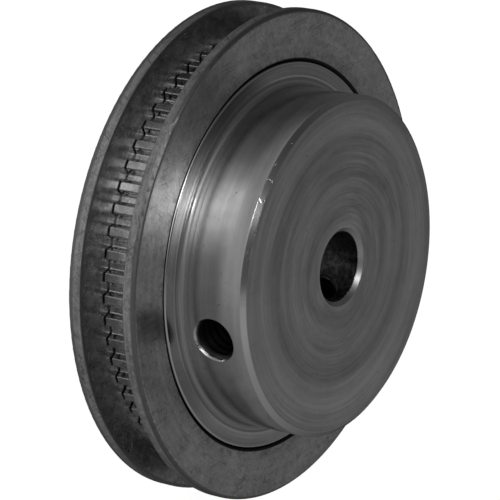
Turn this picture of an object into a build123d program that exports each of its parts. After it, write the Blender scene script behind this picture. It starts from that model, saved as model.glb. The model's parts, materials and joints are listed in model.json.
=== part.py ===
from build123d import *
import math
import os

# Timing belt pulley: a toothed aluminium wheel with a hub on one side, two flanges pressed
# on to the wheel's bosses, and two set screws at 90 degrees in the hub.
#
# Row frame: millimetres, +Z up. The origin is on the shaft axis, in the middle of the belt
# face. The shaft axis lies along Y and the hub points to -Y.
#
# Each piece is drawn in a turning frame, with the shaft axis along its Z and the hub end up.
# AXIS_FRAME lays that frame down into the row frame. Angles are counted there from the
# row's -X towards its -Z.
AXIS_FRAME = Plane(origin=(0, 0, 0), x_dir=(-1, 0, 0), z_dir=(0, -1, 0))

# Teeth: the 0.080 inch trapezoidal section for a 1/8 inch belt
TOOTH_COUNT = 60
TOOTH_PITCH = 2.032
PITCH_LINE_OFFSET = 0.254
GROOVE_DEPTH = 0.69
GROOVE_BOTTOM_WIDTH = 0.72
GROOVE_WALL_ANGLE = 20.0
GROOVE_ROOT_RADIUS = 0.25
TOOTH_TIP_RADIUS = 0.13
FIRST_TOOTH_ANGLE = 0.9
TIP_RADIUS = TOOTH_COUNT * TOOTH_PITCH / (2 * math.pi) - PITCH_LINE_OFFSET
ROOT_CIRCLE_RADIUS = TIP_RADIUS - GROOVE_DEPTH

# Belt face: the flanges bear on a shoulder just under the groove bottoms, and the teeth
# stop a little short of them
BELT_FACE_WIDTH = 4.10
TOOTH_END_GAP = 0.12
SHOULDER_RADIUS = ROOT_CIRCLE_RADIUS - 0.16
FACE_HALF = BELT_FACE_WIDTH / 2
TOOTH_HALF = FACE_HALF - TOOTH_END_GAP

# Flanges: stamped rings, flat where the teeth meet them and dished outwards to the rim. The
# hub side's rim is rolled over on its outer edge, and each bore breaks out wider at its
# outer end, which leaves a fine groove round the boss.
FLANGE_DIAMETER = 44.45
FLANGE_THICKNESS = 1.20
FLANGE_DISH = 0.19
FLANGE_BEND_RADIUS = 19.6
FLANGE_RIM_ROUND = 0.40
FLANGE_EDGE_BREAK = 0.06
FLANGE_BREAKOUT = 0.28
FLANGE_BREAKOUT_DEPTH = 0.40
BOSS_DIAMETER = 35.0
BOSS_EDGE_ROUND = 0.20
FLANGE_RADIUS = FLANGE_DIAMETER / 2
BOSS_RADIUS = BOSS_DIAMETER / 2
BOSS_END = FACE_HALF + FLANGE_THICKNESS

# Hub and bore. Round the hub's root the boss's face rises a little, from a faint edge, and
# a small fillet joins the two.
HUB_DIAMETER = 30.66
HUB_END = 9.86
HUB_ROOT_RADIUS = 0.50
HUB_ROOT_EDGE_DIAMETER = 32.2
HUB_ROOT_RISE = 0.08
HUB_CHAMFER_WIDTH = 0.48
HUB_CHAMFER_DEPTH = 0.38
BORE_DIAMETER = 6.35
BORE_CHAMFER = 0.375
HUB_RADIUS = HUB_DIAMETER / 2
BORE_RADIUS = BORE_DIAMETER / 2

# Set screws: 8-32 by 1/4 inch, hexagon socket, cup point. The thread is left off: the hole
# is drawn at the thread's major diameter and the screw a running clearance under it.
THREAD_MAJOR_DIAMETER = 4.166
SCREW_CLEARANCE = 0.05
SCREW_LENGTH = 6.35
SCREW_END_CHAMFER = 0.40
SCREW_POINT_CHAMFER = 0.85
SOCKET_ACROSS_FLATS = 1.984
SOCKET_DEPTH = 2.60
DRILL_POINT_ANGLE = 118.0
CUP_DIAMETER = 1.70
SCREW_AXIS_HEIGHT = 6.476
SCREW_ANGLES = {"set_screw_a": 13.5, "set_screw_b": 103.5}
SCREW_TIP_RADIUS = BORE_RADIUS + 0.50
HOLE_RADIUS = THREAD_MAJOR_DIAMETER / 2
SCREW_RADIUS = HOLE_RADIUS - SCREW_CLEARANCE


def turned(outline):
    """Solid of revolution about Z from a closed outline of (radius, height) edges."""
    return revolve(make_face(Plane.XZ * outline), axis=Axis.Z)


def corner_at(outline, radius, height):
    """The outline's corner nearest to a radius and height."""
    place = Vector(radius, height, 0)
    return min(outline.vertices(), key=lambda corner: (Vector(corner) - place).length)


def radial_plane(angle, distance):
    """Plane across the line of a set screw, with its Z pointing out from the shaft axis."""
    bearing = math.radians(angle)
    outward = Vector(math.cos(bearing), math.sin(bearing), 0)
    return Plane(origin=outward * distance + Vector(0, 0, SCREW_AXIS_HEIGHT),
                 x_dir=(0, 0, 1), z_dir=outward)


def tooth_ring():
    """The belt face: a disc with one rounded trapezoidal groove between each pair of teeth."""
    flare = math.tan(math.radians(GROOVE_WALL_ANGLE))
    groove_top = TIP_RADIUS + GROOVE_DEPTH
    half_bottom = GROOVE_BOTTOM_WIDTH / 2
    half_top = half_bottom + (groove_top - ROOT_CIRCLE_RADIUS) * flare
    groove = make_face(Polyline((ROOT_CIRCLE_RADIUS, -half_bottom), (groove_top, -half_top),
                                (groove_top, half_top), (ROOT_CIRCLE_RADIUS, half_bottom),
                                close=True))
    first_groove = FIRST_TOOTH_ANGLE + 180 / TOOTH_COUNT
    face = Circle(TIP_RADIUS) - [turn * groove for turn in
                                 PolarLocations(0, TOOTH_COUNT, start_angle=first_groove)]
    middle = (TIP_RADIUS + ROOT_CIRCLE_RADIUS) / 2
    face = fillet([v for v in face.vertices() if Vector(v).length > middle], TOOTH_TIP_RADIUS)
    face = fillet([v for v in face.vertices() if Vector(v).length < middle], GROOVE_ROOT_RADIUS)
    return Pos(0, 0, -TOOTH_HALF) * extrude(face, amount=2 * TOOTH_HALF)


def wheel_core():
    """Everything on the wheel that is turned: bosses, shoulders and hub, solid through."""
    root_corner = BOSS_END + HUB_ROOT_RISE
    outline = Plane.XY * make_face(Polyline(
        (0, -BOSS_END), (BOSS_RADIUS, -BOSS_END), (BOSS_RADIUS, -FACE_HALF),
        (SHOULDER_RADIUS, -FACE_HALF), (SHOULDER_RADIUS, FACE_HALF), (BOSS_RADIUS, FACE_HALF),
        (BOSS_RADIUS, BOSS_END), (HUB_ROOT_EDGE_DIAMETER / 2, BOSS_END),
        (HUB_RADIUS, root_corner), (HUB_RADIUS, HUB_END - HUB_CHAMFER_DEPTH),
        (HUB_RADIUS - HUB_CHAMFER_WIDTH, HUB_END), (0, HUB_END), close=True))
    outline = fillet(corner_at(outline, HUB_RADIUS, root_corner), HUB_ROOT_RADIUS)
    outline = fillet([corner_at(outline, BOSS_RADIUS, BOSS_END),
                      corner_at(outline, BOSS_RADIUS, -BOSS_END)], BOSS_EDGE_ROUND)
    return revolve(Plane.XZ * outline, axis=Axis.Z)


def bore():
    """The shaft hole as a solid to cut away, flared at both mouths."""
    mouth = BORE_RADIUS + BORE_CHAMFER
    return turned(Polyline(
        (0, -BOSS_END), (mouth, -BOSS_END), (BORE_RADIUS, -BOSS_END + BORE_CHAMFER),
        (BORE_RADIUS, HUB_END - BORE_CHAMFER), (mouth, HUB_END), (0, HUB_END), close=True))


def screw_hole(angle):
    """A set screw's hole as a solid to cut away, from the shaft axis out through the hub."""
    return radial_plane(angle, 0) * extrude(Circle(HOLE_RADIUS), amount=BOSS_RADIUS)


def pulley_body():
    """The wheel in one piece: teeth, bosses, hub, bore and the two set screw holes."""
    body = wheel_core() + tooth_ring() - bore()
    for angle in SCREW_ANGLES.values():
        body -= screw_hole(angle)
    return body


def flange(rim_round):
    """The hub side's flange, lying on the shoulder with its rim dished towards the hub."""
    slope = FLANGE_DISH / (FLANGE_RADIUS - FLANGE_BEND_RADIUS)
    outer_bend = FLANGE_BEND_RADIUS - FLANGE_THICKNESS * slope / 2
    outline = Plane.XY * make_face(Polyline(
        (BOSS_RADIUS, FACE_HALF), (FLANGE_BEND_RADIUS, FACE_HALF),
        (FLANGE_RADIUS, FACE_HALF + FLANGE_DISH), (FLANGE_RADIUS, BOSS_END + FLANGE_DISH),
        (outer_bend, BOSS_END), (BOSS_RADIUS + FLANGE_BREAKOUT, BOSS_END),
        (BOSS_RADIUS, BOSS_END - FLANGE_BREAKOUT_DEPTH), close=True))
    outline = fillet(corner_at(outline, FLANGE_RADIUS, BOSS_END + FLANGE_DISH), rim_round)
    outline = fillet(corner_at(outline, FLANGE_RADIUS, FACE_HALF + FLANGE_DISH), FLANGE_EDGE_BREAK)
    return revolve(Plane.XZ * outline, axis=Axis.Z)


def set_screw(angle):
    """One set screw in its hole, with the cup point towards the shaft."""
    cup_slope = math.tan(math.radians(DRILL_POINT_ANGLE / 2))
    cup_radius = CUP_DIAMETER / 2
    shank = turned(Polyline(
        (0, cup_radius / cup_slope), (cup_radius, 0), (SCREW_RADIUS - SCREW_POINT_CHAMFER, 0),
        (SCREW_RADIUS, SCREW_POINT_CHAMFER), (SCREW_RADIUS, SCREW_LENGTH - SCREW_END_CHAMFER),
        (SCREW_RADIUS - SCREW_END_CHAMFER, SCREW_LENGTH), (0, SCREW_LENGTH), close=True))
    hexagon = RegularPolygon(SOCKET_ACROSS_FLATS / 2, 6, major_radius=False)
    socket_floor = SCREW_LENGTH - SOCKET_DEPTH
    corner = hexagon.vertices().sort_by(Axis.X)[-1].center().length
    drilled_end = Pos(0, 0, socket_floor) * Rot(180, 0, 0) * Cone(
        corner, 0, corner / cup_slope, align=(Align.CENTER, Align.CENTER, Align.MIN))
    socket = Pos(0, 0, socket_floor) * extrude(hexagon, amount=SOCKET_DEPTH)
    return radial_plane(angle, SCREW_TIP_RADIUS) * (shank - socket - drilled_end)


def write_node(name, shape):
    """Lay a piece down into the row frame and write it as one STEP file."""
    export_step(AXIS_FRAME.location * shape, f"parts/{name}.step")


def main():
    os.makedirs("parts", exist_ok=True)
    write_node("pulley_body", pulley_body())
    write_node("hub_side_flange", flange(FLANGE_RIM_ROUND))
    write_node("plain_side_flange", flange(FLANGE_EDGE_BREAK).mirror(Plane.XY))
    for name, angle in SCREW_ANGLES.items():
        write_node(name, set_screw(angle))


main()
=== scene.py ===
import json
import math

import bpy
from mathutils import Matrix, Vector


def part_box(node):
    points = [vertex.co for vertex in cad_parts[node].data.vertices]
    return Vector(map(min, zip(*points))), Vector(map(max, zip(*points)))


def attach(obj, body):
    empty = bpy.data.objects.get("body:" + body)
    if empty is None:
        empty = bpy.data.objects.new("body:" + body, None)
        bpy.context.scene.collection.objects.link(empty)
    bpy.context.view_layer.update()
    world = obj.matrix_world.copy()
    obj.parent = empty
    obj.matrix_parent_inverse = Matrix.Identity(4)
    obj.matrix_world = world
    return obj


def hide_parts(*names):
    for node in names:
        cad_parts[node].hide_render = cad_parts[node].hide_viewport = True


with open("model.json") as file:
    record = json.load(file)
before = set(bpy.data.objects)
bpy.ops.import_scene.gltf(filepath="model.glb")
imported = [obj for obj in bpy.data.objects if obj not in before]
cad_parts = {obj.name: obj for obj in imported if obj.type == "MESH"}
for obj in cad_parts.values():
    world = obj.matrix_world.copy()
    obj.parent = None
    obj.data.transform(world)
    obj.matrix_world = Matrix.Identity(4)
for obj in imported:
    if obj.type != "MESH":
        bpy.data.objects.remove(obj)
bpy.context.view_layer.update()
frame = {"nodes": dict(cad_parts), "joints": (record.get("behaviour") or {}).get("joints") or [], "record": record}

MM = 0.001

# Frame: the shaft axis is Y, the hub points to -Y, and the wheel stands on its flange rims
HUB_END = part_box("pulley_body")[0].y
RIM_LOW, RIM_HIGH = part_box("hub_side_flange")
RIM_RADIUS = RIM_HIGH.z
MOUNTS = {mount["name"]: mount for mount in frame["record"]["mounts"]}
JOINTS = {joint["child"]: joint for joint in frame["joints"]}
BORE_RADIUS = MOUNTS["shaft_bore"]["dims"]["r_mm"] * MM
TIP_RADIUS = MOUNTS["belt_seat"]["dims"]["r_mm"] * MM
HUB_RADIUS = 15.33 * MM

# A flange's two faces at its rim, by their distance from the belt face's middle
RIM_INNER_DEPTH = 2.24 * MM
RIM_OUTER_DEPTH = 3.44 * MM

# Boss on the hub side: its end (distance from the belt face's middle), its rounded edge, and
# the low rise and fillet up to the hub
BOSS_RADIUS = 17.5 * MM
BOSS_END = 3.25 * MM
BOSS_EDGE_ROUND = 0.20 * MM
ROOT_EDGE_RADIUS = 16.1 * MM
ROOT_RISE = 0.08 * MM
ROOT_FILLET = 0.50 * MM

# The thin ring over the boss's end stands a little proud of the CAD surface. Its borders run
# down into the metal: on the hub between two heights over the fillet's centre, and on the
# boss between two depths under its end. Points close to the root's faint edge and to the
# rounded edge keep the flat stretches flat in the shading.
RING_LIFT = 0.012 * MM
RING_DEPTH = 0.15 * MM
RING_TOP = 0.46 * MM
RING_TOP_FADE = 0.30 * MM
RING_FOOT = 0.34 * MM
RING_FOOT_FADE = 0.30 * MM
ROOT_EDGE_HOLD = 0.02 * MM
ROUND_EDGE_HOLD = 0.30 * MM
ARC_STEPS = 16
RING_AROUND = 480

# Set screws, 8-32: each goes in its hole by the body of its joint. Of half a thread pitch, one
# part is the groove's floor, one its flank, and the rest the crest.
SCREWS = {"screw_a": "set_screw_a", "screw_b": "set_screw_b"}
THREAD_PITCH = 0.79375 * MM
HOLE_RADIUS = 2.083 * MM
HOLE_THREAD_ROOT = 2.060 * MM
HOLE_THREAD_CREST = 1.730 * MM
THREAD_ROOT_PART = 0.10
THREAD_FLANK_PART = 0.72
THREAD_CLEARANCE = 0.045 * MM
LINER_GAP = 0.004 * MM
MOUTH_SLOPE = 0.7
SCREW_END_CHAMFER = 0.40 * MM
SCREW_POINT_CHAMFER = 0.85 * MM
SOCKET_ACROSS_FLATS = 1.984 * MM
SOCKET_DEPTH = 2.60 * MM
SOCKET_LEAD = 0.12 * MM
CUP_RADIUS = 0.85 * MM
DRILL_SLOPE = math.tan(math.radians(59))
AROUND = 72
ROWS_PER_TURN = 14

# Edges sharper than this, in degrees, aren't shaded smooth on the new pieces
SHARP_ANGLE = 38

# Camera, looking at the frame's origin
CAMERA_AZIMUTH = -55.41
CAMERA_ELEVATION = 15.80
CAMERA_DISTANCE = 0.29207
CAMERA_LENS = 233.5

# Light: one lamp, the room's own glow (way, brightness, tightness), and the bright table top
# in front, which ends at an edge just below the horizon (height of the way to it)
KEY_WAY = Vector((-0.36, -0.82, 0.44))
KEY_DISTANCE = 0.45
KEY_SIDE = 0.10
KEY_POWER = 0.12
ROOM_LEVEL = 0.035
ROOM_GLOWS = [((-0.80, 0.58, -0.05), 0.17, 3.0),
              ((-0.60, 0.55, 0.58), 0.18, 3.0),
              ((-0.20, 0.55, -0.80), 0.14, 6.0),
              ((0.25, 0.55, 0.80), 0.09, 5.0),
              ((0.80, -0.50, -0.33), 0.08, 4.0),
              ((0.25, -0.55, -0.80), 0.09, 8.0),
              ((-0.65, -0.50, -0.55), 0.06, 6.0),
              ((-0.90, -0.40, -0.10), 0.07, 4.0),
              ((-0.45, -0.58, 0.68), 0.20, 12.0),
              ((-0.66, -0.55, 0.51), 1.00, 26.0)]
TABLE_GLOWS = [((-0.20, -0.85, -0.50), 0.10, 7.0),
               ((-0.22, -0.92, -0.32), 0.10, 25.0)]
TABLE_EDGE = (-0.12, -0.24)
FLOOR_REACH = 3.0
FLOOR_GLOW = 0.95

# Materials: bump heights are in this unit
HEIGHT_UNIT = 0.01 * MM


def bearing(azimuth, elevation):
    """Unit vector from the origin towards a viewpoint: azimuth 0 is at -Y and grows towards +X."""
    turn, rise = math.radians(azimuth), math.radians(elevation)
    return Vector((math.sin(turn) * math.cos(rise), -math.cos(turn) * math.cos(rise),
                   math.sin(rise)))


def aim(item, place):
    """Put a camera or light at a place, looking at the origin."""
    item.location = place
    item.rotation_euler = (-place).to_track_quat("-Z", "Y").to_euler()


def link(name, data):
    item = bpy.data.objects.new(name, data)
    bpy.context.scene.collection.objects.link(item)
    return item


class Shader:
    """A procedural material or world being built: each call adds a node and returns its output."""

    def __init__(self, owner):
        owner.use_nodes = True
        self.owner = owner
        self.nodes = owner.node_tree.nodes
        self.links = owner.node_tree.links
        self.nodes.clear()

    def add(self, kind, inputs, output=0, **settings):
        node = self.nodes.new("ShaderNode" + kind)
        for key, value in settings.items():
            setattr(node, key, value)
        for key, value in inputs.items():
            socket = node.inputs[key]
            if isinstance(value, bpy.types.NodeSocket):
                self.links.new(value, socket)
            else:
                socket.default_value = value
        return node.outputs[output] if node.outputs else None

    def math(self, operation, *values):
        return self.add("Math", dict(enumerate(values)), operation=operation)

    def sum(self, first, *others):
        for other in others:
            first = self.math("ADD", first, other)
        return first

    def times(self, first, *others):
        for other in others:
            first = self.math("MULTIPLY", first, other)
        return first

    def ramp(self, value, low, high, to_low=0.0, to_high=1.0):
        """Value mapped smoothly from low..high to to_low..to_high."""
        return self.add("MapRange", {"Value": value, "From Min": low, "From Max": high,
                                     "To Min": to_low, "To Max": to_high},
                        interpolation_type="SMOOTHSTEP")

    def mix(self, factor, first, second):
        return self.add("Mix", {0: factor, 2: first, 3: second}, data_type="FLOAT")

    def noise(self, vector, scale, detail=2.0, roughness=0.5, distortion=0.0):
        return self.add("TexNoise", {"Vector": vector, "Scale": scale, "Detail": detail,
                                     "Roughness": roughness, "Distortion": distortion})

    def swing(self, vector, scale, amount, detail=2.0, roughness=0.5, distortion=0.0):
        """Noise that swings either side of zero by about half the amount."""
        noise = self.noise(vector, scale, detail, roughness, distortion)
        return self.times(self.math("SUBTRACT", noise, 0.5), amount)

    def vector(self, x, y, z):
        return self.add("CombineXYZ", {0: x, 1: y, 2: z})

    def split(self, vector):
        node = self.nodes.new("ShaderNodeSeparateXYZ")
        self.links.new(vector, node.inputs[0])
        return node.outputs[0], node.outputs[1], node.outputs[2]

    def grey(self, value):
        return self.add("CombineColor", {0: value, 1: value, 2: value})

    def output(self, surface):
        self.add("OutputMaterial", {"Surface": surface})
        return self.owner


class TurnedMetal(Shader):
    """Bare metal turned about the shaft axis, with the places that its marks are laid out on."""

    def __init__(self, name, tone, roughness):
        super().__init__(bpy.data.materials.new(name))
        self.place = self.add("TexCoord", {}, "Object")
        self.x, self.y, self.z = self.split(self.place)
        self.radius = self.math("SQRT", self.sum(self.times(self.x, self.x),
                                                 self.times(self.z, self.z)))
        self.cos = self.math("DIVIDE", self.x, self.radius)
        self.sin = self.math("DIVIDE", self.z, self.radius)
        self.depth = self.math("ABSOLUTE", self.y)
        facing = self.split(self.add("TexCoord", {}, "Normal"))[1]
        self.facing = self.ramp(self.math("ABSOLUTE", facing), 0.55, 0.85)
        travel = self.mix(self.facing, self.y, self.radius)
        self.travel = self.times(travel, 1 / MM)
        tilt = self.math("ABSOLUTE", self.math("SUBTRACT", self.facing, 0.5))
        self.straight = self.ramp(tilt, 0.40, 0.49)
        self.tone = tone
        self.roughness = roughness
        self.height = 0.0

    def zone(self, around, start, full, fade, end):
        """Mask on the distance from the axis, in millimetres either side of a radius.

        It rises from start to full and falls again from fade to end.
        """
        rise = self.ramp(self.radius, around + start * MM, around + full * MM)
        fall = self.ramp(self.radius, around + end * MM, around + fade * MM)
        return self.times(rise, fall)

    def rings(self, across, along, detail=2.0, roughness=0.5):
        """Streaks round the axis: across is how many a millimetre, along how often they break.

        They fade out on fillets, where travel runs from one direction into the other.
        """
        lane = self.vector(self.times(self.travel, across), self.times(self.cos, along),
                           self.times(self.sin, along))
        streak = self.math("SUBTRACT", self.noise(lane, 1.0, detail, roughness), 0.5)
        return self.times(streak, self.straight)

    def scratches(self, angle, length, width, rarity):
        """Mask of straight fine scratches at an angle, a length and width in millimetres."""
        turn = math.radians(angle)
        along = self.sum(self.times(self.x, math.cos(turn)), self.times(self.z, math.sin(turn)))
        aside = self.sum(self.times(self.z, math.cos(turn)), self.times(self.x, -math.sin(turn)),
                         self.times(self.y, 0.6))
        lane = self.vector(self.times(along, 1 / (length * MM)),
                           self.times(aside, 1 / (width * MM)), 0.0)
        line = self.ramp(self.noise(lane, 1.0, 1.0, 0.4, 0.15), rarity, rarity + 0.06)
        patch = self.ramp(self.noise(self.place, 330.0 + angle, 1.0), 0.45, 0.60)
        return self.times(line, patch)

    def shade(self, amount):
        """Add to the reflectance."""
        self.tone = self.sum(self.tone, amount)

    def spot(self, mask, tone, roughness):
        """Change to another reflectance and roughness where the mask is 1."""
        self.tone = self.mix(mask, self.tone, tone)
        self.roughness = self.mix(mask, self.roughness, roughness)

    def raise_by(self, amount):
        self.height = self.sum(self.height, amount)

    def finish(self, anisotropy, edge_radius):
        """Close the material, with its edges rounded a little by shading."""
        rounded = self.add("Bevel", {"Radius": edge_radius}, samples=4)
        normal = self.add("Bump", {"Height": self.height, "Strength": 1.0, "Distance": HEIGHT_UNIT,
                                   "Normal": rounded})
        tangent = self.add("Tangent", {}, direction_type="RADIAL", axis="Y")
        tone = self.math("MINIMUM", self.math("MAXIMUM", self.tone, 0.005), 0.95)
        return self.output(self.add("BsdfPrincipled", {
            "Base Color": self.grey(tone), "Roughness": self.roughness, "Metallic": 1.0,
            "Normal": normal, "Anisotropic": anisotropy, "Anisotropic Rotation": 0.25,
            "Tangent": tangent}))


def body_metal():
    """The wheel: dull turned bar, bright where its edges are broken, with painted shade in its seam and along its
    root.
    """
    s = TurnedMetal("turned_aluminium", tone=0.72, roughness=0.21)

    # Turning marks, stronger on the faces than on the hub's side, and fainter in some sectors
    s.shade(s.times(s.rings(across=0.45, along=0.3, detail=3.0, roughness=0.6), 0.80))
    s.shade(s.times(s.rings(across=1.1, along=1.3, detail=3.0), 0.40))
    sector = s.ramp(s.noise(s.place, scale=110.0), 0.38, 0.62, 0.25, 1.0)
    fine = s.times(s.rings(across=5.0, along=1.1, detail=3.0, roughness=0.6),
                   s.mix(s.facing, 0.17, 0.75))
    s.shade(s.times(fine, sector))
    s.raise_by(s.times(s.rings(across=9.0, along=3.0, detail=3.0, roughness=0.65), sector, 0.30))
    s.raise_by(s.times(s.rings(across=2.0, along=1.6), 0.45))

    # Darker stretches: painted shade on the hub face's outer top and under the hub; the face's middle and the
    # boss's end are duller
    # Painted shade: the top of the hub face's outer band is darker
    face_top_shade = s.times(s.facing, s.ramp(s.radius, HUB_RADIUS - 1.63 * MM, HUB_RADIUS - 0.83 * MM),
                        s.ramp(s.sin, 0.35, 0.90))
    s.shade(s.times(face_top_shade, -0.14))
    s.shade(s.times(s.facing, s.ramp(s.radius, HUB_RADIUS - 4.13 * MM, HUB_RADIUS - 2.93 * MM,
                                     -0.07, 0.04)))
    # Painted shade: the hub's side is darker on its underside
    hub_underside_shade = s.times(s.zone(HUB_RADIUS, -0.43, -0.13, 0.09, 0.17),
                        s.ramp(s.sin, -0.38, -0.70),
                        s.ramp(s.y, HUB_END + 1.0 * MM, HUB_END + 2.5 * MM))
    s.shade(s.times(hub_underside_shade, -0.28))
    s.shade(s.times(s.facing, s.zone(BOSS_RADIUS, -1.30, -1.10, 0.0, 0.10), -0.08))

    # Stains and grain
    s.shade(s.swing(s.place, scale=260.0, amount=0.20, detail=4.0, roughness=0.6, distortion=0.4))
    s.shade(s.swing(s.place, scale=1600.0, amount=0.14, detail=3.0, roughness=0.7))
    s.roughness = s.sum(s.roughness,
                        s.swing(s.place, scale=420.0, amount=0.12, detail=3.0, roughness=0.6))

    # Teeth: mottled lands and bright, speckled grooves
    lands = s.ramp(s.radius, TIP_RADIUS - 0.25 * MM, TIP_RADIUS - 0.05 * MM)
    s.shade(s.times(s.swing(s.place, scale=4200.0, amount=0.80, roughness=0.7), lands))
    grooves = s.times(s.ramp(s.radius, TIP_RADIUS - 1.05 * MM, TIP_RADIUS - 0.85 * MM),
                      s.math("SUBTRACT", 1.0, lands))
    speckle = s.ramp(s.noise(s.place, scale=5200.0, roughness=0.7), 0.35, 0.65, 0.55, 0.95)
    s.spot(grooves, tone=speckle, roughness=0.15)

    # Pits and scratches
    pits = s.ramp(s.noise(s.place, scale=3300.0, roughness=0.6), 0.70, 0.76)
    s.spot(s.times(pits, s.math("SUBTRACT", 0.7, grooves)), tone=0.20, roughness=0.55)
    marks = s.scratches(angle=20, length=1.6, width=0.05, rarity=0.70)
    s.raise_by(s.times(marks, -0.35))

    # Polished edges, the hub's with nicks where it has been knocked, and a painted highlight along the root's
    # faint edge
    end_edge = s.times(s.ramp(s.radius, HUB_RADIUS - 0.53 * MM, HUB_RADIUS - 0.43 * MM),
                       s.ramp(s.y, HUB_END + 0.42 * MM, HUB_END + 0.36 * MM))
    boss_edge = s.zone(BOSS_RADIUS, -0.20, -0.14, 0.04, 0.10)
    root_edge_highlight = s.zone(ROOT_EDGE_RADIUS, 0.0, 0.05, 0.14, 0.20)
    nicks = s.ramp(s.noise(s.place, scale=1400.0), 0.56, 0.66)
    knocked = s.times(s.ramp(s.sin, 0.22, 0.34), s.ramp(s.sin, 0.78, 0.66),
                      s.ramp(s.cos, -0.60, -0.75, 0.12, 1.0))
    s.raise_by(s.times(end_edge, nicks, knocked, -1.3))
    s.spot(s.math("MAXIMUM", end_edge, boss_edge), tone=0.90, roughness=0.16)
    # Painted highlight: a light line along the root's faint edge
    s.spot(s.times(root_edge_highlight, 0.8), tone=0.92, roughness=0.20)

    # Painted shade in the seam round the boss and as a darker band along the hub's root rise; the root's fillet is
    # painted darker and rougher all round but for the one stretch where the lamp's highlight falls
    painted_seam_shade = s.times(s.zone(BOSS_RADIUS, -0.12, -0.06, 0.04, 0.10),
                   s.ramp(s.depth, BOSS_END - 0.09 * MM, BOSS_END - 0.15 * MM))
    s.spot(painted_seam_shade, tone=0.05, roughness=0.50)
    # Painted shade: a darker band on the root's rise
    root_band_shade = s.zone(ROOT_EDGE_RADIUS, -0.30, -0.22, -0.08, 0.0)
    s.spot(s.times(root_band_shade, 0.85), tone=0.42, roughness=0.42)
    # Painted shade round a painted highlight: the fillet is darker and rougher except the stretch where the lamp's
    # highlight falls
    root_fillet = s.zone(HUB_RADIUS, 0.05, 0.11, 0.45, 0.51)
    dull_off_highlight = s.math("MAXIMUM", s.ramp(s.sin, 0.46, 0.38), s.ramp(s.sin, 0.49, 0.57))
    s.spot(s.times(root_fillet, dull_off_highlight), tone=0.60, roughness=0.38)

    # Bore: bright mouths, and a gritty wall with painted shade over its upper side
    bore_mouth = s.ramp(s.radius, BORE_RADIUS + 0.42 * MM, BORE_RADIUS + 0.36 * MM)
    s.spot(bore_mouth, tone=0.75, roughness=0.36)
    bore = s.ramp(s.radius, BORE_RADIUS + 0.04 * MM, BORE_RADIUS + 0.01 * MM)
    grit = s.noise(s.place, scale=2200.0, detail=3.0, roughness=0.6)
    s.spot(bore, tone=s.ramp(grit, 0.42, 0.64, 0.38, 0.95), roughness=0.20)
    # Painted shade: the bore's wall is darker towards its top
    bore_top_shade = s.times(bore, s.ramp(s.z, -0.5 * MM, 1.3 * MM))
    s.spot(s.times(bore_top_shade, 0.85), tone=0.20, roughness=0.34)
    s.raise_by(s.times(grit, bore))

    rounding = s.sum(0.07 * MM, s.times(end_edge, 0.07 * MM), s.times(boss_edge, -0.06 * MM))
    return s.finish(anisotropy=0.3, edge_radius=rounding)


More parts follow.
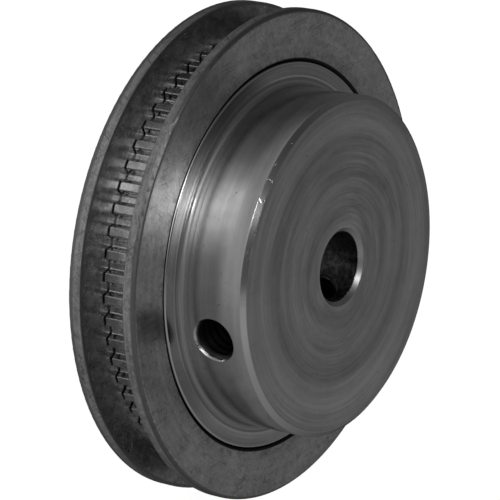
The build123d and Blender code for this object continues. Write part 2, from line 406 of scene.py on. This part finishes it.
def flange_metal(name):
    """A stamped flange: satin sheet with handling scratches, stains and a grubby edge."""
    s = TurnedMetal(name, tone=0.73, roughness=0.33)

    # Stains from large to fine, and faint rings
    s.shade(s.swing(s.place, scale=210.0, amount=0.45, detail=4.0, roughness=0.6, distortion=0.5))
    s.shade(s.swing(s.place, scale=620.0, amount=0.30, distortion=0.3))
    s.shade(s.swing(s.place, scale=1500.0, amount=0.65, detail=4.0, roughness=0.7))
    s.shade(s.swing(s.place, scale=5200.0, amount=0.45, roughness=0.7))
    s.shade(s.times(s.rings(across=1.2, along=0.6, detail=3.0, roughness=0.6), 0.30))
    s.shade(s.times(s.rings(across=2.5, along=5.0, detail=3.0, roughness=0.6), 0.25))
    rim = s.ramp(s.radius, RIM_RADIUS - 0.12 * MM, RIM_RADIUS - 0.04 * MM)
    s.shade(s.times(rim, -0.20))
    s.shade(s.times(rim, s.rings(across=6.0, along=7.0, detail=3.0, roughness=0.7), 0.65))
    s.roughness = s.sum(s.roughness,
                        s.swing(s.place, scale=300.0, amount=0.16, detail=3.0, roughness=0.6))
    s.raise_by(s.times(s.rings(across=3.0, along=2.5, detail=3.0, roughness=0.6), 0.30))
    s.raise_by(s.swing(s.place, scale=1800.0, amount=0.40, detail=3.0, roughness=0.6))

    for angle, length in ((8, 3.6), (78, 1.4), (140, 1.8)):
        mark = s.scratches(angle, length, width=0.07, rarity=0.64)
        s.raise_by(s.times(mark, -0.8))
        s.shade(s.times(mark, -0.40))

    # The face towards the belt is mottled and darker
    inner = s.times(s.facing, s.ramp(s.depth, RIM_INNER_DEPTH + 0.26 * MM,
                                     RIM_INNER_DEPTH + 0.10 * MM))
    mottle = s.ramp(s.noise(s.place, scale=1100.0, detail=4.0, roughness=0.65, distortion=0.4),
                    0.34, 0.68, 0.34, 0.62)
    s.spot(inner, tone=mottle, roughness=0.27)
    s.raise_by(s.times(inner, s.swing(s.place, scale=3800.0, amount=1.1, roughness=0.6)))

    # Dirt along the rim's corners, near the boss and near the rim, then pits, and painted shade in the seam
    dirt = s.noise(s.place, scale=1500.0, detail=3.0, roughness=0.7, distortion=0.3)
    corners = s.math("MAXIMUM",
                     s.ramp(s.depth, RIM_OUTER_DEPTH - 0.48 * MM, RIM_OUTER_DEPTH - 0.28 * MM),
                     s.ramp(s.depth, RIM_INNER_DEPTH + 0.10 * MM, RIM_INNER_DEPTH + 0.03 * MM))
    corners = s.times(corners, s.ramp(s.radius, RIM_RADIUS - 0.38 * MM, RIM_RADIUS - 0.26 * MM))
    s.spot(s.times(corners, s.ramp(dirt, 0.25, 0.50, 0.80, 1.0)), tone=0.33, roughness=0.42)
    near_boss = s.times(s.ramp(s.radius, BOSS_RADIUS + 1.8 * MM, BOSS_RADIUS + 0.3 * MM),
                        s.ramp(dirt, 0.47, 0.58))
    near_rim = s.times(s.ramp(s.radius, RIM_RADIUS - 0.82 * MM, RIM_RADIUS - 0.22 * MM),
                       s.facing, s.ramp(dirt, 0.50, 0.62))
    s.spot(s.times(s.math("MAXIMUM", near_boss, near_rim), 0.65), tone=0.34, roughness=0.5)
    pits = s.ramp(s.noise(s.place, scale=3600.0, roughness=0.6), 0.68, 0.74)
    s.spot(s.times(pits, 0.7), tone=0.20, roughness=0.6)
    # Painted shade: a dark line on the flange's inner edge in the seam
    painted_seam_shade = s.ramp(s.radius, BOSS_RADIUS + 0.37 * MM, BOSS_RADIUS + 0.31 * MM)
    s.spot(painted_seam_shade, tone=0.07, roughness=0.55)
    return s.finish(anisotropy=0.3, edge_radius=0.05 * MM)


def thread_metal():
    """Cut thread in the hub: bare and burred at its mouth, painted near black inside as shade."""
    # Painted shade: the thread is near black down in the hole, less dark near the mouth and towards the bore
    s = TurnedMetal("tapped_thread", tone=0.014, roughness=0.50)
    s.shade(s.swing(s.place, scale=3000.0, amount=0.01, detail=3.0, roughness=0.6))
    s.raise_by(s.swing(s.place, scale=5200.0, amount=0.5, detail=3.0, roughness=0.6))
    inside = s.ramp(s.radius, HUB_RADIUS - 0.80 * MM, HUB_RADIUS - 0.30 * MM)
    s.spot(inside, tone=0.10, roughness=0.35)
    mouth = s.ramp(s.radius, HUB_RADIUS - 0.26 * MM, HUB_RADIUS - 0.10 * MM)
    s.spot(mouth, tone=0.92, roughness=0.16)
    burrs = s.swing(s.place, scale=2800.0, amount=5.0, detail=3.0, roughness=0.65)
    s.raise_by(s.times(mouth, burrs))
    inner_end = s.ramp(s.radius, BORE_RADIUS + 0.16 * MM, BORE_RADIUS + 0.06 * MM)
    s.spot(inner_end, tone=0.40, roughness=0.35)
    return s.finish(anisotropy=0.0, edge_radius=0.02 * MM)


def screw_metal():
    """Black oxide on alloy steel, rubbed a little brighter in patches."""
    s = TurnedMetal("black_oxide", tone=0.075, roughness=0.38)
    s.shade(s.swing(s.place, scale=1900.0, amount=0.05, detail=3.0, roughness=0.6))
    rubbed = s.ramp(s.noise(s.place, scale=900.0, detail=3.0, roughness=0.6), 0.58, 0.72)
    s.spot(s.times(rubbed, 0.35), tone=0.24, roughness=0.30)
    s.raise_by(s.swing(s.place, scale=6000.0, amount=0.35, detail=3.0, roughness=0.6))
    return s.finish(anisotropy=0.0, edge_radius=0.03 * MM)


def dress(node, material):
    """Give a CAD node's object one material."""
    item = frame["nodes"][node]
    item.data.materials.clear()
    item.data.materials.append(material)


class ScrewLine:
    """The line that one set screw travels along, out from the shaft axis."""

    def __init__(self, body):
        self.out = Vector(JOINTS[body]["axis"]).normalized()
        self.up = Vector((0, -1, 0))
        self.side = self.out.cross(self.up)
        node = SCREWS[body]
        low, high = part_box(node)
        self.base = Vector((0, (low.y + high.y) / 2, 0))
        reach = [vertex.co.dot(self.out) for vertex in frame["nodes"][node].data.vertices]
        self.tip, self.end = min(reach), max(reach)

    def at(self, turn, radius, travel):
        """Point at an angle and radius round the line, that far out from the shaft axis."""
        return (self.base + self.out * travel
                + (self.up * math.cos(turn) + self.side * math.sin(turn)) * radius)


def thread_radius(turn, travel, root, crest):
    """Radius of a right-hand thread, from root at the bottom of its groove to crest between."""
    phase = travel / THREAD_PITCH - turn / math.tau
    height = abs(2 * (phase - math.floor(phase + 0.5)))
    height = min(max((height - THREAD_ROOT_PART) / THREAD_FLANK_PART, 0.0), 1.0)
    return root + (crest - root) * height


def lathe(name, rows, ends_meet):
    """Closed mesh from rows of points round a line. A row of one point is an apex."""
    mesh = bpy.data.meshes.new(name)
    points, starts = [], []
    for row in rows:
        starts.append(len(points))
        points += row
    faces = []
    around = max(len(row) for row in rows)
    pairs = list(zip(range(len(rows)), range(1, len(rows))))
    if ends_meet:
        pairs.append((len(rows) - 1, 0))
    for first, second in pairs:
        for i in range(around):
            j = (i + 1) % around
            if len(rows[first]) == 1:
                corners = [starts[first], starts[second] + j, starts[second] + i]
            elif len(rows[second]) == 1:
                corners = [starts[first] + i, starts[first] + j, starts[second]]
            else:
                corners = [starts[first] + i, starts[first] + j, starts[second] + j,
                           starts[second] + i]
            faces.append(corners)
    mesh.from_pydata(points, [], faces)
    mesh.validate()
    for face in mesh.polygons:
        face.use_smooth = True
    mesh.set_sharp_from_angle(angle=math.radians(SHARP_ANGLE))
    return link(name, mesh)


TURNS = [math.tau * i / AROUND for i in range(AROUND)]


def hole_thread(body, material):
    """The thread cut in one set screw hole, as a thin sleeve in the plain hole of the CAD."""
    line = ScrewLine(body)

    def surface(radius, turn):
        return math.sqrt(radius ** 2 - (HOLE_THREAD_ROOT * math.sin(turn)) ** 2)

    outer_radius = HOLE_RADIUS - LINER_GAP
    count = round((HUB_RADIUS - BORE_RADIUS) / THREAD_PITCH * ROWS_PER_TURN)
    rows = []
    for k in range(count + 1):
        row = []
        for turn in TURNS:
            bottom = surface(BORE_RADIUS, turn) + LINER_GAP
            top = surface(HUB_RADIUS, turn) - LINER_GAP
            travel = bottom + (top - bottom) * k / count
            radius = thread_radius(turn, travel, HOLE_THREAD_ROOT, HOLE_THREAD_CREST)
            mouth = HOLE_THREAD_ROOT - (top - travel) * MOUTH_SLOPE
            row.append(line.at(turn, max(radius, mouth), travel))
        rows.append(row)
    for radius in (HUB_RADIUS, BORE_RADIUS):
        lift = -LINER_GAP if radius == HUB_RADIUS else LINER_GAP
        rows.append([line.at(turn, outer_radius, surface(radius, turn) + lift) for turn in TURNS])
    piece = lathe(body + "_hole_thread", rows, True)
    piece.data.materials.append(material)
    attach(piece, "pulley")


def threaded_screw(body, material):
    """One set screw with its thread, hexagon socket and cup point."""
    line = ScrewLine(body)
    crest = HOLE_THREAD_ROOT - THREAD_CLEARANCE
    root = HOLE_THREAD_CREST - THREAD_CLEARANCE
    count = round((line.end - line.tip) / THREAD_PITCH * ROWS_PER_TURN)

    def hexagon(turn):
        sixth = math.tau / 6
        return SOCKET_ACROSS_FLATS / 2 / math.cos((turn + sixth / 2) % sixth - sixth / 2)

    def ring(radius_at, travel):
        return [line.at(turn, radius_at(turn), travel) for turn in TURNS]

    point_radius = crest - SCREW_POINT_CHAMFER
    rows = [[line.at(0, 0, line.tip + CUP_RADIUS / DRILL_SLOPE)],
            ring(lambda turn: CUP_RADIUS, line.tip)]
    for k in range(count + 1):
        travel = line.tip + (line.end - line.tip) * k / count
        cone = min(point_radius + (travel - line.tip),
                   crest - SCREW_END_CHAMFER + (line.end - travel))
        rows.append([line.at(turn, min(thread_radius(turn, travel, crest, root), cone), travel)
                     for turn in TURNS])
    floor = line.end - SOCKET_DEPTH
    corner = SOCKET_ACROSS_FLATS / 2 / math.cos(math.tau / 12)
    lead = corner + SOCKET_LEAD
    rows.append(ring(lambda turn: lead, line.end))
    rows.append(ring(hexagon, line.end - SOCKET_LEAD))
    rows.append(ring(hexagon, floor))
    rows.append([line.at(0, 0, floor - corner / DRILL_SLOPE)])
    piece = lathe(SCREWS[body] + "_threaded", rows, False)
    piece.data.materials.append(material)
    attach(piece, body)
    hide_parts(SCREWS[body])


def boss_outline():
    """The ring's outline as (radius, distance out): hub, fillet, rise, end, edge, and back."""
    rise_slope = math.atan2(ROOT_RISE, ROOT_EDGE_RADIUS - HUB_RADIUS)
    centre_radius = HUB_RADIUS + ROOT_FILLET
    centre_out = (BOSS_END + ROOT_RISE
                  + ROOT_FILLET / math.tan((math.pi / 2 + rise_slope) / 2))
    outline = [(HUB_RADIUS - RING_LIFT, centre_out + RING_TOP),
               (HUB_RADIUS + RING_LIFT, centre_out + RING_TOP_FADE)]
    for k in range(ARC_STEPS + 1):
        angle = (math.pi / 2 - rise_slope) * k / ARC_STEPS
        reach = ROOT_FILLET - RING_LIFT
        outline.append((centre_radius - reach * math.cos(angle),
                        centre_out - reach * math.sin(angle)))
    end = BOSS_END + RING_LIFT
    edge_radius = BOSS_RADIUS - BOSS_EDGE_ROUND
    outline += [(ROOT_EDGE_RADIUS - ROOT_EDGE_HOLD, end + ROOT_EDGE_HOLD * math.tan(rise_slope)),
                (ROOT_EDGE_RADIUS + ROOT_EDGE_HOLD, end),
                (edge_radius - ROUND_EDGE_HOLD, end)]
    for k in range(ARC_STEPS + 1):
        angle = math.pi / 2 * (1 - k / ARC_STEPS)
        reach = BOSS_EDGE_ROUND + RING_LIFT
        outline.append((edge_radius + reach * math.cos(angle),
                        BOSS_END - BOSS_EDGE_ROUND + reach * math.sin(angle)))
    return outline + [(BOSS_RADIUS + RING_LIFT, BOSS_END - RING_FOOT_FADE),
                      (BOSS_RADIUS - RING_LIFT, BOSS_END - RING_FOOT),
                      (BOSS_RADIUS - RING_DEPTH, BOSS_END - RING_FOOT),
                      (ROOT_EDGE_RADIUS, BOSS_END - RING_DEPTH),
                      (HUB_RADIUS - RING_DEPTH, BOSS_END - RING_DEPTH),
                      (HUB_RADIUS - RING_DEPTH, centre_out + RING_TOP)]


def boss_surface(material):
    """The boss's end with its rounded edge and hub fillet, as a thin ring on the CAD surface.

    The CAD mesh's facets would break up the highlights on those two small fillets.
    """
    turns = [math.tau * i / RING_AROUND for i in range(RING_AROUND)]
    rows = [[Vector((-math.cos(turn) * radius, -out, math.sin(turn) * radius)) for turn in turns]
            for radius, out in boss_outline()]
    piece = lathe("boss_surface", rows, True)
    piece.data.materials.append(material)
    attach(piece, "pulley")


def studio():
    """Pale floor under the rims, one soft lamp and a dim room."""
    scene = bpy.context.scene
    scene.view_settings.view_transform = "Standard"
    mesh = bpy.data.meshes.new("floor")
    corners = [(-1, -1), (1, -1), (1, 1), (-1, 1)]
    mesh.from_pydata([(x * FLOOR_REACH, y * FLOOR_REACH, 0) for x, y in corners],
                     [], [(0, 1, 2, 3)])
    floor = link("floor", mesh)
    floor.location.z = RIM_LOW.z
    floor.visible_glossy = False
    floor.visible_diffuse = False
    s = Shader(bpy.data.materials.new("floor_paper"))
    paper = s.add("BsdfDiffuse", {"Color": (0.5, 0.5, 0.5, 1)})
    glow = s.add("Emission", {"Color": (1, 1, 1, 1), "Strength": FLOOR_GLOW})
    mesh.materials.append(s.output(s.add("AddShader", {0: paper, 1: glow})))

    scene.world = room()
    data = bpy.data.lights.new("key", "AREA")
    data.shape = "DISK"
    data.size = KEY_SIDE
    data.energy = KEY_POWER
    aim(link("key", data), KEY_WAY.normalized() * KEY_DISTANCE)


def room():
    """A dim room with a few soft bright stretches and the table top."""
    world = bpy.data.worlds.new("room")
    s = Shader(world)
    way = s.add("TexCoord", {}, "Generated")

    def glow(centre, bright, tight):
        near = s.add("VectorMath", {0: way, 1: Vector(centre).normalized()}, "Value",
                     operation="DOT_PRODUCT")
        return s.times(s.math("POWER", s.math("MAXIMUM", near, 0.0), tight), bright)

    table = s.times(s.sum(*[glow(*stretch) for stretch in TABLE_GLOWS]),
                    s.ramp(s.split(way)[2], *TABLE_EDGE))
    level = s.sum(table, ROOM_LEVEL, *[glow(*stretch) for stretch in ROOM_GLOWS])
    sky = s.add("Background", {"Color": (1, 1, 1, 1), "Strength": level})
    s.add("OutputWorld", {"Surface": sky})
    return world


def camera():
    data = bpy.data.cameras.new("camera")
    data.lens = CAMERA_LENS
    data.clip_start = 0.01
    item = link("camera", data)
    aim(item, bearing(CAMERA_AZIMUTH, CAMERA_ELEVATION) * CAMERA_DISTANCE)
    bpy.context.scene.camera = item


camera()
studio()
bare_metal = body_metal()
dress("pulley_body", bare_metal)
boss_surface(bare_metal)
dress("hub_side_flange", flange_metal("flange_hub_side"))
dress("plain_side_flange", flange_metal("flange_plain_side"))
cut_thread = thread_metal()
black_oxide = screw_metal()
for screw in SCREWS:
    hole_thread(screw, cut_thread)
    threaded_screw(screw, black_oxide)
